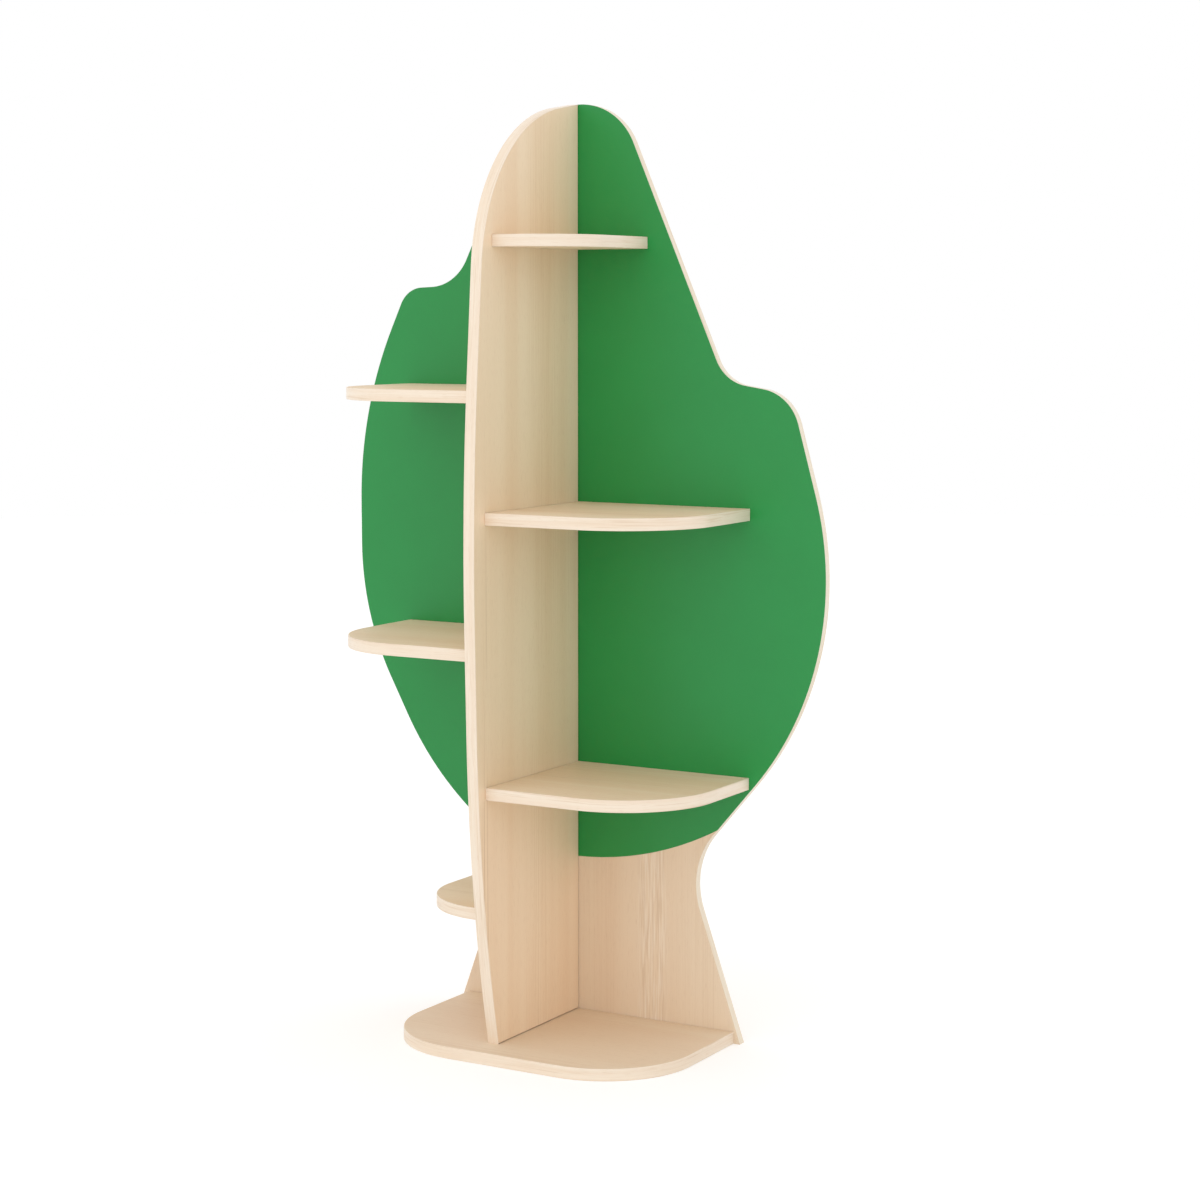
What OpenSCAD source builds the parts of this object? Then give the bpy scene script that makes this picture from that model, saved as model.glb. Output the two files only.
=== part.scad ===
// Tree-shaped bookshelf for a child's room or a reading corner.
// A back panel cut as a tree stands behind an upright fin and a base plate.
// Three shelves sit to the right of the fin and three to its left, at staggered heights.
// X runs to the right, Y to the back and Z up. The origin is the middle of the outer box, on the floor.

/* [Overall] */
// Height of the back panel and the fin
total_h = 1250; // [1200:5:1300]
// Width of the tree's crown
crown_w = 731; // [700:1:765]
// Width of the trunk where it stands on the floor
foot_w = 442; // [430:1:470]
// Width of the trunk's waist between the tangent lines
waist_w = 280; // [262:1:300]
// How far the trunk's middle stands to the right of the fin
trunk_offset = 36; // [26:1:46]

/* [Boards] */
// Thickness of the fin, the shelves and the base plate
board_t = 16; // [15:0.5:19]
// Thickness of the back panel's board
panel_board_t = 12; // [10:0.5:16]
// Thickness of the laminate facings on the back panel
facing_t = 1; // [0.6:0.1:1.5]
// Thickness of the edge bands
band_t = 1; // [0.6:0.1:2]

/* [Crown] */
// Height of the lowest point of the green crown
crown_bottom_z = 228; // [205:1:245]
// Radius of the crown's lower boundary
crown_arc_r = 460; // [445:1:480]

/* [Fin] */
// How far the fin stands forward at its fullest
fin_depth = 262; // [250:1:272]

/* [Base plate] */
// How far the base plate's left end stands in from the trunk's foot
base_left_inset = 13; // [6:1:24]
// How far the base plate's right end stands in from the trunk's foot
base_right_inset = 9; // [6:1:24]
// Depth of the base plate
base_d = 250; // [240:1:264]

/* [Large shelves] */
// Width of a large shelf, from the fin to its free end
large_w = 261; // [240:1:275]
// Depth of a large shelf
large_d = 236; // [220:1:245]
// Corner radius of the large shelves and the base plate
large_r = 126; // [90:1:140]

/* [Small shelves] */
// Width of the top right shelf
top_w = 107; // [100:1:115]
// Depth of the top right shelf
top_d = 217; // [200:1:222]
// Width of the low left shelf
low_w = 124; // [112:1:130]
// Depth of the low left shelf
low_d = 217; // [200:1:224]
// Corner radius of the top right shelf
top_r = 98; // [70:1:99]
// Corner radius of the low left shelf
low_r = 109; // [80:1:111]

/* [Shelf heights] */
// Height of the lowest right shelf's top face
right_first_z = 360; // [335:1:375]
// Rise of the tree above the top right shelf's top face
right_top_rise = 178; // [160:1:200]
// Height of the lowest left shelf's top face
left_first_z = 196; // [180:1:215]
// Rise of the tree above the middle left shelf's top face
left_middle_rise = 712; // [690:1:735]
// Rise of the tree above the top left shelf's top face
left_top_rise = 378; // [355:1:400]

/* [Screws and dowels] */
// Length of a screw
screw_l = 50; // [42:1:60]
// Diameter of a screw's head
screw_head_d = 10; // [9:0.5:11.5]
// Diameter of a screw's plain shank
screw_shank_d = 7; // [6:0.5:8]
// Diameter of a screw's threaded stretch, at its core
screw_core_d = 5; // [4:0.5:5.5]
// Width of the hexagon socket, across its flats
socket_w = 4; // [3:0.5:4.5]
// Depth of the hexagon socket
socket_depth = 3; // [2.5:0.1:4]
// Diameter of a cover cap
cap_d = 12.5; // [12:0.5:14]
// Height of a cover cap above the panel
cap_h = 1.4; // [1:0.1:2]
// Diameter of a dowel
dowel_d = 8; // [6:0.5:9]
// Length of a dowel
dowel_l = 30; // [26:1:36]
// How deep a dowel sits in the fin
dowel_in_fin = 10; // [8:0.5:11]

/* [Hidden] */

// Largest turn of one step along a rounded corner, in degrees
arc_step = 3;
// How far the middle of such a step may lie inside its arc
arc_gap = 0.05;
// How far a cut runs past the face that it opens
overrun = 1;
// Gap between a screw, a dowel or a cap and its bore
fit_gap = 0.1;
// Height of the plain rim of a screw's head
head_rim_h = 1;
// Length of a screw's plain shank, head included
shank_l = 13;
// Length of a screw's blunt tip
screw_tip_l = 3;
// Height of the chamfer on a dowel's ends
dowel_chamfer = 1;
// Length of a cover cap's peg
cap_peg_l = 2.4;
// Radius of the round edge of a cover cap
cap_edge_r = 0.7;

panel_t = panel_board_t + facing_t;
right_pitch = (total_h - right_first_z - right_top_rise) / 2;
shelf_mid_drop = board_t / 2;
fin_half_t = board_t / 2;

wood_colour = [0.88, 0.77, 0.66];
edge_colour = [0.95, 0.88, 0.80];
green_colour = [0.22, 0.56, 0.29];
steel_colour = [0.70, 0.71, 0.73];
cap_colour = [0.90, 0.82, 0.72];
dowel_colour = [0.80, 0.65, 0.45];

// The crown's corners, from the right shoulder over the apex to the left belly.
// Each row is the place across as a share of crown_w, the height and the radius as shares of total_h.
crown_corner_shares = [
    [ 0.578, 0.416, 0.336],
    [ 0.447, 0.693, 0.050],
    [ 0.315, 0.705, 0.045],
    [ 0.095, 1.000, 0.071],
    [-0.097, 1.000, 0.100],
    [-0.259, 0.807, 0.054],
    [-0.371, 0.804, 0.032],
    [-0.482, 0.666, 0.453],
    [-0.480, 0.434, 0.320],
    [-0.321, 0.265, 0.344]
];
// Height and radius of the trunk's waist on the right and the left, as shares of total_h
waist_right_shares = [0.185, 0.084];
waist_left_shares = [0.178, 0.076];

// The fin's side outline from its foot to the panel.
// Each row is the reach forward as a share of fin_depth, the height and the radius as shares of total_h.
fin_foot_share = 0.79;
fin_corner_shares = [
    [0.957, 0.177, 1.780],
    [1.013, 0.577, 2.450],
    [0.872, 0.9715, 0.184]
];

// Heights of the screws into the fin, as shares of total_h
fin_screw_shares = [0.07, 0.25, 0.48, 0.71, 0.92];
// Places of the screws into a shelf, as shares of its width
shelf_screw_shares = [0.25, 0.75];
// Places of the screws into the base plate, as shares of its width from its left end
base_screw_shares = [0.08, 0.29, 0.69, 0.92];
// Places of the screws up into the fin's foot, as shares of the foot's depth
foot_screw_shares = [0.25, 0.55, 0.85];
// Places of the dowels along a shelf, as shares of its depth
dowel_shares = [0.25, 0.72];

// A shelf is its side (1 right, -1 left), its width, its depth, its corner radius and its top face's height.
right_low = [1, large_w, large_d, large_r, right_first_z];
right_middle = [1, large_w, large_d, large_r, right_first_z + right_pitch];
right_top = [1, top_w, top_d, top_r, total_h - right_top_rise];
left_low = [-1, low_w, low_d, low_r, left_first_z];
left_middle = [-1, large_w, large_d, large_r, total_h - left_middle_rise];
left_top = [-1, large_w, large_d, large_r, total_h - left_top_rise];
shelves = [right_low, right_middle, right_top, left_low, left_middle, left_top];

// A board's outline is [corners, run]. Each corner is [x, y, radius], counter-clockwise.
// The first run corners are joined by edges that carry the edge band, and the other edges are plain.
panel_outline = [
    limited(concat(
        [[trunk_offset + foot_w / 2, 0, 0]],
        [[trunk_offset + waist_w / 2, waist_right_shares[0] * total_h, waist_right_shares[1] * total_h]],
        [for (s = crown_corner_shares) [s[0] * crown_w, s[1] * total_h, s[2] * total_h]],
        [[trunk_offset - waist_w / 2, waist_left_shares[0] * total_h, waist_left_shares[1] * total_h]],
        [[trunk_offset - foot_w / 2, 0, 0]]
    )),
    len(crown_corner_shares) + 4
];
fin_foot_d = fin_foot_share * fin_depth;
fin_outline = [
    limited(concat(
        [[fin_foot_d, board_t, 0]],
        [for (s = fin_corner_shares) [s[0] * fin_depth, s[1] * total_h, s[2] * total_h]],
        [[0, total_h, 0], [0, board_t, 0]]
    )),
    len(fin_corner_shares) + 2
];
base_left = trunk_offset - foot_w / 2 + base_left_inset;
base_right = trunk_offset + foot_w / 2 - base_right_inset;
base_outline = [
    limited([
        [base_left, 0, 0], [base_left, -base_d, large_r],
        [base_right, -base_d, large_r], [base_right, 0, 0]
    ]),
    4
];
function shelf_outline(s) = [limited([[0, -s[2], 0], [s[1], -s[2], s[3]], [s[1], 0, 0], [0, 0, 0]]), 3];

// Outline functions
function place(c) = [c[0], c[1]];
function before(corners, i) = corners[(i + len(corners) - 1) % len(corners)];
function after(corners, i) = corners[(i + 1) % len(corners)];
function towards(a, b) = (b - a) / norm(b - a);
function turned(v, a) = [v[0] * cos(a) - v[1] * sin(a), v[0] * sin(a) + v[1] * cos(a)];
function backwards(points) = [for (i = [len(points) - 1:-1:0]) points[i]];

// The directions of the edges before and after a corner, and how far one turns into the other
function edge_in(corners, i) = towards(place(before(corners, i)), place(corners[i]));
function edge_out(corners, i) = towards(place(corners[i]), place(after(corners, i)));
function turn_at(corners, i) =
    let (u = edge_in(corners, i), v = edge_out(corners, i)) atan2(cross(u, v), u * v);

// How far a corner's arc reaches along its two edges
function arc_reach(corners, i) = corners[i][2] * tan(abs(turn_at(corners, i)) / 2);

// The corners with their radii, each lessened where two arcs don't fit on the edge between them
function limited(corners) =
    let (
        n = len(corners),
        reach = [for (i = [0:n - 1]) arc_reach(corners, i)],
        room = [for (i = [0:n - 1])
            let (both = reach[i] + reach[(i + 1) % n])
            both == 0 ? 1 : min(1, norm(place(after(corners, i)) - place(corners[i])) / both)]
    )
    [for (i = [0:n - 1]) [corners[i][0], corners[i][1], corners[i][2] * min(room[i], room[(i + n - 1) % n])]];

// The points of one corner: the corner itself, or the arc of its radius that touches both edges
function corner_points(corners, i) =
    let (
        p = place(corners[i]),
        u = edge_in(corners, i),
        r = corners[i][2],
        turn = turn_at(corners, i),
        start = p - u * arc_reach(corners, i),
        centre = start + sign(turn) * r * [-u[1], u[0]],
        steps = ceil(abs(turn) / min(arc_step, 2 * acos(1 - arc_gap / max(r, arc_gap))))
    )
    r == 0 ? [p] : [for (k = [0:steps]) centre + turned(start - centre, turn * k / steps)];

// All the points of an outline, or those of its first few corners
function rounded(corners, count) =
    [for (i = [0:count - 1]) each corner_points(corners, i)];

// The corners moved inwards by the band's thickness beside the edges that carry a band
function inset(board) =
    let (corners = board[0], n = len(corners), last = board[1] - 1)
    [for (i = [0:n - 1])
        let (
            u = edge_in(corners, i),
            v = edge_out(corners, i),
            s = cross(u, v),
            a = (i > 0 && i <= last) ? band_t : 0,
            b = i < last ? band_t : 0,
            q = place(corners[i]) + (v * a - u * b) / s,
            r = corners[i][2]
        )
        [q[0], q[1], r == 0 ? 0 : r - sign(s) * band_t]
    ];

function outer_points(board) = rounded(board[0], len(board[0]));
function core_points(board) = rounded(inset(board), len(board[0]));
function band_points(board) =
    concat(rounded(board[0], board[1]), backwards(rounded(inset(board), board[1])));

// The outer box, from which the origin follows
panel_points = outer_points(panel_outline);
x_low = min([for (p = panel_points) p[0]]);
x_high = max([for (p = panel_points) p[0]]);
fin_reach = max([for (p = outer_points(fin_outline)) p[0]]);
y_low = -max(fin_reach, base_d);
y_high = panel_t + cap_h;
origin = [(x_low + x_high) / 2, (y_low + y_high) / 2, 0];

// The trunk's facing ends at the crown along a wide arc
module trunk_region() {
    difference() {
        translate([trunk_offset - foot_w / 2, 0]) square([foot_w, crown_bottom_z + crown_arc_r]);
        translate([0, crown_bottom_z + crown_arc_r]) circle(r = crown_arc_r, $fn = 240);
    }
}

// Placing helpers
module placed() {
    translate(-origin) children();
}

// A shape drawn in X and Z, given a thickness that starts at y and runs back
module panel_layer(y, t) {
    translate([0, y + t, 0]) rotate([90, 0, 0]) linear_extrude(height = t) children();
}

// A shape drawn by its reach forward and its height, given the fin's thickness
module fin_layer() {
    translate([fin_half_t, 0, 0]) rotate([90, 0, -90]) linear_extrude(height = board_t) children();
}

module shelf_layer(s) {
    mirror([s[0] < 0 ? 1 : 0, 0, 0])
        translate([fin_half_t, 0, s[4] - board_t]) linear_extrude(height = board_t) children();
}

// Screws, dowels and caps
function screw_profile(gap, lead) =
    let (
        head_r = screw_head_d / 2 + gap,
        shank_r = screw_shank_d / 2 + gap,
        core_r = screw_core_d / 2 + gap,
        tip_r = core_r / 2,
        end = screw_l + gap
    )
    [
        [0, -lead], [head_r, -lead], [head_r, head_rim_h], [shank_r, head_rim_h + head_r - shank_r],
        [shank_r, shank_l], [core_r, shank_l + shank_r - core_r],
        [core_r, end - screw_tip_l], [tip_r, end], [0, end]
    ];

// A screw whose head's face is at the origin and whose tip points up
module screw() {
    difference() {
        rotate_extrude($fn = 32) polygon(screw_profile(0, 0));
        translate([0, 0, -overrun])
            cylinder(d = socket_w / cos(30), h = socket_depth + overrun, $fn = 6);
    }
}

module screw_space() {
    rotate_extrude($fn = 32) polygon(screw_profile(fit_gap, overrun));
}

module dowel() {
    rotate_extrude($fn = 32) polygon([
        [0, 0], [dowel_d / 2 - dowel_chamfer, 0], [dowel_d / 2, dowel_chamfer],
        [dowel_d / 2, dowel_l - dowel_chamfer], [dowel_d / 2 - dowel_chamfer, dowel_l], [0, dowel_l]
    ]);
}

module dowel_space() {
    translate([0, 0, -fit_gap]) cylinder(d = dowel_d + 2 * fit_gap, h = dowel_l + 2 * fit_gap, $fn = 32);
}

// A cap that lies on the panel's back face, with a peg that enters the screw's socket
module cover_cap() {
    rotate_extrude($fn = 32) {
        translate([0, -cap_h]) square([cap_d / 2 - cap_edge_r, cap_h]);
        translate([0, cap_edge_r - cap_h]) square([cap_d / 2, cap_h - cap_edge_r]);
        intersection() {
            translate([cap_d / 2 - cap_edge_r, cap_edge_r - cap_h]) circle(r = cap_edge_r, $fn = 32);
            translate([0, -cap_h]) square([cap_d / 2, cap_h]);
        }
        square([socket_w / 2 - fit_gap, cap_peg_l]);
    }
}

// Each of these puts its child at every place of one group of fasteners
module at_fin_screws() {
    for (s = fin_screw_shares)
        translate([0, panel_t, s * total_h]) rotate([90, 0, 0]) children();
}

module at_shelf_screws(s) {
    for (k = shelf_screw_shares)
        translate([s[0] * (fin_half_t + k * s[1]), panel_t, s[4] - shelf_mid_drop]) rotate([90, 0, 0])
            children();
}

module at_base_screws() {
    for (k = base_screw_shares)
        translate([base_left + k * (base_right - base_left), panel_t, shelf_mid_drop])
            rotate([90, 0, 0]) children();
}

module at_foot_screws() {
    for (k = foot_screw_shares)
        translate([0, -k * fin_foot_d, 0]) children();
}

module at_dowels(s) {
    for (k = dowel_shares)
        translate([s[0] * (fin_half_t - dowel_in_fin), -k * s[2], s[4] - shelf_mid_drop])
            rotate([0, s[0] * 90, 0]) children();
}

// Every bore that goes in through the back panel
module panel_bores() {
    at_fin_screws() screw_space();
    for (s = shelves) at_shelf_screws(s) screw_space();
    at_base_screws() screw_space();
}

// Back panel
module back_panel() {
    color(wood_colour) placed() difference() {
        panel_layer(facing_t, panel_board_t) polygon(core_points(panel_outline));
        panel_bores();
    }
}

module crown_facing() {
    color(green_colour) placed() difference() {
        panel_layer(0, facing_t) difference() {
            polygon(panel_points);
            trunk_region();
        }
        panel_bores();
    }
}

module trunk_facing() {
    color(wood_colour) placed() difference() {
        panel_layer(0, facing_t) intersection() {
            polygon(panel_points);
            trunk_region();
        }
        panel_bores();
    }
}

module back_panel_edge_band() {
    color(edge_colour) placed() panel_layer(facing_t, panel_board_t) polygon(band_points(panel_outline));
}

// Upright fin
module upright_fin() {
    color(wood_colour) placed() difference() {
        fin_layer() polygon(core_points(fin_outline));
        at_fin_screws() screw_space();
        at_foot_screws() screw_space();
        for (s = shelves) at_dowels(s) dowel_space();
    }
}

module upright_fin_edge_band() {
    color(edge_colour) placed() fin_layer() polygon(band_points(fin_outline));
}

// Base plate
module base_plate() {
    color(wood_colour) placed() difference() {
        linear_extrude(height = board_t) polygon(core_points(base_outline));
        at_base_screws() screw_space();
        at_foot_screws() screw_space();
    }
}

module base_plate_edge_band() {
    color(edge_colour) placed() linear_extrude(height = board_t) polygon(band_points(base_outline));
}

// Shelves
module shelf(s) {
    color(wood_colour) placed() difference() {
        shelf_layer(s) polygon(core_points(shelf_outline(s)));
        at_shelf_screws(s) screw_space();
        at_dowels(s) dowel_space();
    }
}

module shelf_edge_band(s) {
    color(edge_colour) placed() shelf_layer(s) polygon(band_points(shelf_outline(s)));
}

module shelf_right_low() { shelf(right_low); }
module shelf_right_middle() { shelf(right_middle); }
module shelf_right_top() { shelf(right_top); }
module shelf_left_low() { shelf(left_low); }
module shelf_left_middle() { shelf(left_middle); }
module shelf_left_top() { shelf(left_top); }
module shelf_right_low_edge_band() { shelf_edge_band(right_low); }
module shelf_right_middle_edge_band() { shelf_edge_band(right_middle); }
module shelf_right_top_edge_band() { shelf_edge_band(right_top); }
module shelf_left_low_edge_band() { shelf_edge_band(left_low); }
module shelf_left_middle_edge_band() { shelf_edge_band(left_middle); }
module shelf_left_top_edge_band() { shelf_edge_band(left_top); }

// Fasteners
module panel_to_fin_screws() {
    color(steel_colour) placed() at_fin_screws() screw();
}

module panel_to_shelf_screws() {
    color(steel_colour) placed() for (s = shelves) at_shelf_screws(s) screw();
}

module panel_to_base_screws() {
    color(steel_colour) placed() at_base_screws() screw();
}

module base_to_fin_screws() {
    color(steel_colour) placed() at_foot_screws() screw();
}

module screw_cover_caps() {
    color(cap_colour) placed() {
        at_fin_screws() cover_cap();
        for (s = shelves) at_shelf_screws(s) cover_cap();
        at_base_screws() cover_cap();
    }
}

module shelf_dowels() {
    color(dowel_colour) placed() for (s = shelves) at_dowels(s) dowel();
}

back_panel();
crown_facing();
trunk_facing();
back_panel_edge_band();
upright_fin();
upright_fin_edge_band();
base_plate();
base_plate_edge_band();
shelf_right_low();
shelf_right_low_edge_band();
shelf_right_middle();
shelf_right_middle_edge_band();
shelf_right_top();
shelf_right_top_edge_band();
shelf_left_low();
shelf_left_low_edge_band();
shelf_left_middle();
shelf_left_middle_edge_band();
shelf_left_top();
shelf_left_top_edge_band();
panel_to_fin_screws();
panel_to_shelf_screws();
panel_to_base_screws();
base_to_fin_screws();
screw_cover_caps();
shelf_dowels();
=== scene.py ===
"""The looks of a tree-shaped bookshelf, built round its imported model.

Every length is in metres unless its name ends in mm, and every piece stands where its node stands.
"""

import logging
import math
from dataclasses import dataclass, replace
from enum import Enum
from typing import Any, Iterable, Sequence

import bmesh
import bpy
from bmesh.types import BMEdge, BMesh, BMVert
from bpy.types import ID, Material, Node, NodeSocket, NodeTree, Object, World
from mathutils import Matrix, Vector
from mathutils.kdtree import KDTree


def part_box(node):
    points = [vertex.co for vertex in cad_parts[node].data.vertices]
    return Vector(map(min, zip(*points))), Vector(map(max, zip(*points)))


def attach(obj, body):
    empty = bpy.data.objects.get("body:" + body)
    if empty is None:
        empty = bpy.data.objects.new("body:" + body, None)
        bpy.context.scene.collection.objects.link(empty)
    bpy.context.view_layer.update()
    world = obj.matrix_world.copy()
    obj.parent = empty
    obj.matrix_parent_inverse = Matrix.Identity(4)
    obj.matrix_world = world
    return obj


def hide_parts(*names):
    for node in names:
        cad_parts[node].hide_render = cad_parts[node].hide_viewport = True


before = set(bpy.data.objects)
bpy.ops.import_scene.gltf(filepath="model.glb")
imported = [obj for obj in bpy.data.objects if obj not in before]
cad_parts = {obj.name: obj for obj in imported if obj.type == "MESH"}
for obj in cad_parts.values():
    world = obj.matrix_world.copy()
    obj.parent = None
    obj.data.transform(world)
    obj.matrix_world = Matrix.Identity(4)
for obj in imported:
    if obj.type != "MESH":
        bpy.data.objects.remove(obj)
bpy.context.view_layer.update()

LOG = logging.getLogger("tree_bookshelf")
MM = 0.001
MM_A_METRE = 1000

# Axes, the two ends of a box along an axis, and the places of a board's materials in its piece
X, Y, Z = range(3)
LOW, HIGH = range(2)
FACE, RAW, BACK_EDGE = range(3)

# How near points and planes count as one, and the angles that tell faces apart
SAME_PLANE = 0.01 * MM
SAME_POINT = 0.02 * MM
MERGE_REACH = 0.002 * MM
CUT_REACH = 0.001 * MM
FLAT_DEGREES = 0.1  # Faces that meet at less are one flat face.
CREASE_DEGREES = 40.0  # Faces that meet at less are shaded as one.
ARRIS_DEGREES = 80.0  # Faces that meet at more have an arris that may be softened.


# Materials: shared helpers


def linear(hex_colour: str) -> tuple[float, float, float, float]:
    """Turn an sRGB hex colour into a linear one with full alpha.

    Args:
        hex_colour: Six hex digits after a #.

    Returns:
        The red, green, blue and alpha values that Blender's sockets take.
    """
    channels = [int(hex_colour[i:i + 2], 16) / 255 for i in (1, 3, 5)]
    red, green, blue = (c / 12.92 if c <= 0.04045 else ((c + 0.055) / 1.055) ** 2.4 for c in channels)
    return red, green, blue, 1.0


def add_node(
    tree: NodeTree,
    kind: str,
    settings: dict[str, Any] | None = None,
    values: dict[str | int, Any] | None = None,
    links: dict[str | int, NodeSocket] | None = None,
) -> Node:
    """Add one shader node.

    Args:
        tree: The node tree that gets the node.
        kind: The node's type, such as ShaderNodeMapping.
        settings: The node's own properties.
        values: Input sockets, by name or place, and their constant values.
        links: Input sockets, by name or place, and the outputs that feed them.

    Returns:
        The new node.
    """
    node = tree.nodes.new(kind)
    for name, value in (settings or {}).items():
        setattr(node, name, value)
    for key, value in (values or {}).items():
        node.inputs[key].default_value = value
    for key, source in (links or {}).items():
        tree.links.new(source, node.inputs[key])
    return node


def empty_tree(owner: Material | World) -> NodeTree:
    """Switch on the nodes of a material or world and clear them.

    Args:
        owner: The material or world.

    Returns:
        Its empty node tree.
    """
    owner.use_nodes = True
    owner.node_tree.nodes.clear()
    return owner.node_tree


def new_material(name: str) -> tuple[Material, NodeTree, Node]:
    """Start a material.

    Args:
        name: The finish's name.

    Returns:
        The material, its node tree and its Principled BSDF, which is already linked to the output.
    """
    material = bpy.data.materials.new(name)
    tree = empty_tree(material)
    shader = add_node(tree, "ShaderNodeBsdfPrincipled")
    add_node(tree, "ShaderNodeOutputMaterial", links={"Surface": shader.outputs["BSDF"]})
    return material, tree, shader


def place_on_object(tree: NodeTree) -> NodeSocket:
    """Give the place in the object's own coordinates."""
    return add_node(tree, "ShaderNodeTexCoord").outputs["Object"]


def add_noise(
    tree: NodeTree, place: NodeSocket, size_mm: float, detail: float, roughness: float = 0.5,
) -> Node:
    """Add a noise.

    Args:
        tree: The material's node tree.
        place: The place that the noise is read at.
        size_mm: About how large its patches are.
        detail: How many finer layers it has.
        roughness: How strong the finer layers are.

    Returns:
        The noise node.
    """
    return add_node(
        tree, "ShaderNodeTexNoise", links={"Vector": place},
        values={"Scale": MM_A_METRE / size_mm, "Detail": detail, "Roughness": roughness})


def combine(tree: NodeTree, operation: str, first: NodeSocket, second: NodeSocket) -> NodeSocket:
    """Combine two values by a math operation, such as MULTIPLY."""
    node = add_node(tree, "ShaderNodeMath", settings={"operation": operation}, links={0: first, 1: second})
    return node.outputs[0]


def mix_colours(
    tree: NodeTree, first: str, second: str, share: NodeSocket, under: NodeSocket | None = None,
) -> NodeSocket:
    """Mix two colours.

    Args:
        tree: The material's node tree.
        first: The colour where the share is 0, as a hex colour.
        second: The colour where the share is 1, as a hex colour.
        share: The share of the second colour.
        under: A socket that takes the place of the first colour, if there is one.

    Returns:
        The socket that holds the colour.
    """
    # The node has sockets for each kind of data: its colours are inputs 6 and 7 and output 2.
    mix = add_node(
        tree, "ShaderNodeMix", settings={"data_type": "RGBA"},
        values={6: linear(first), 7: linear(second)}, links={0: share, **({6: under} if under else {})})
    return mix.outputs[2]


def vary_roughness(
    tree: NodeTree, shader: Node, amount: NodeSocket, low: float, high: float, full: float = 1.0,
) -> None:
    """Let the roughness rise with an amount.

    Args:
        tree: The material's node tree.
        shader: The material's Principled BSDF.
        amount: The amount, from 0 up.
        low: The roughness where the amount is 0.
        high: The roughness where the amount is full.
        full: The full amount.
    """
    sheen = add_node(
        tree, "ShaderNodeMapRange", values={"From Max": full, "To Min": low, "To Max": high},
        links={"Value": amount})
    tree.links.new(sheen.outputs["Result"], shader.inputs["Roughness"])


def press_relief(tree: NodeTree, shader: Node, height: NodeSocket, strength: float, depth_mm: float) -> None:
    """Press a relief into the finish.

    Args:
        tree: The material's node tree.
        shader: The material's Principled BSDF.
        height: The relief's height, from 0 to 1.
        strength: How strongly the relief shows.
        depth_mm: How deep the relief is.
    """
    relief = add_node(
        tree, "ShaderNodeBump", values={"Strength": strength, "Distance": depth_mm * MM},
        links={"Height": height})
    tree.links.new(relief.outputs["Normal"], shader.inputs["Normal"])


# Materials: finishes


class Run(Enum):
    """The axes that a grain runs along: 1 where it is drawn out, 0 where its lines lie side by side."""

    UPRIGHT = (0, 0, 1)
    SIDEWAYS = (1, 0, 0)
    ROUND_LEVEL_BOARD = (1, 1, 0)
    ROUND_FIN = (0, 1, 1)
    ROUND_PANEL = (1, 0, 1)


# How far a grain layer is moved in the noise along Y and Z for each unit along X
OFFSET_Y = 1.7
OFFSET_Z = 2.3


class Offset(Enum):
    """Where a grain layer lies in the noise: far enough from the others that none repeats another."""

    BANDS = 3.1
    FIBRES = 11.7
    PATCHES = 17.3
    STREAKS = 23.9
    CLUSTERS = 41.3
    PORES = 57.1
    DARK_LINES = 67.3
    PALE_LINES = 73.9

    def place(self, seed: float) -> tuple[float, float, float]:
        """Give the layer's place in the noise, which also differs from seed to seed."""
        return self.value + seed, self.value * OFFSET_Y, self.value * OFFSET_Z + seed


@dataclass(frozen=True)
class GrainLayer:
    """One layer of a printed grain.

    Its lines have a width and a length. It starts to show where the noise passes low and is full at high.
    """

    across_mm: float
    along_mm: float
    low: float
    high: float
    strength: float
    detail: float = 2.0


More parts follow.
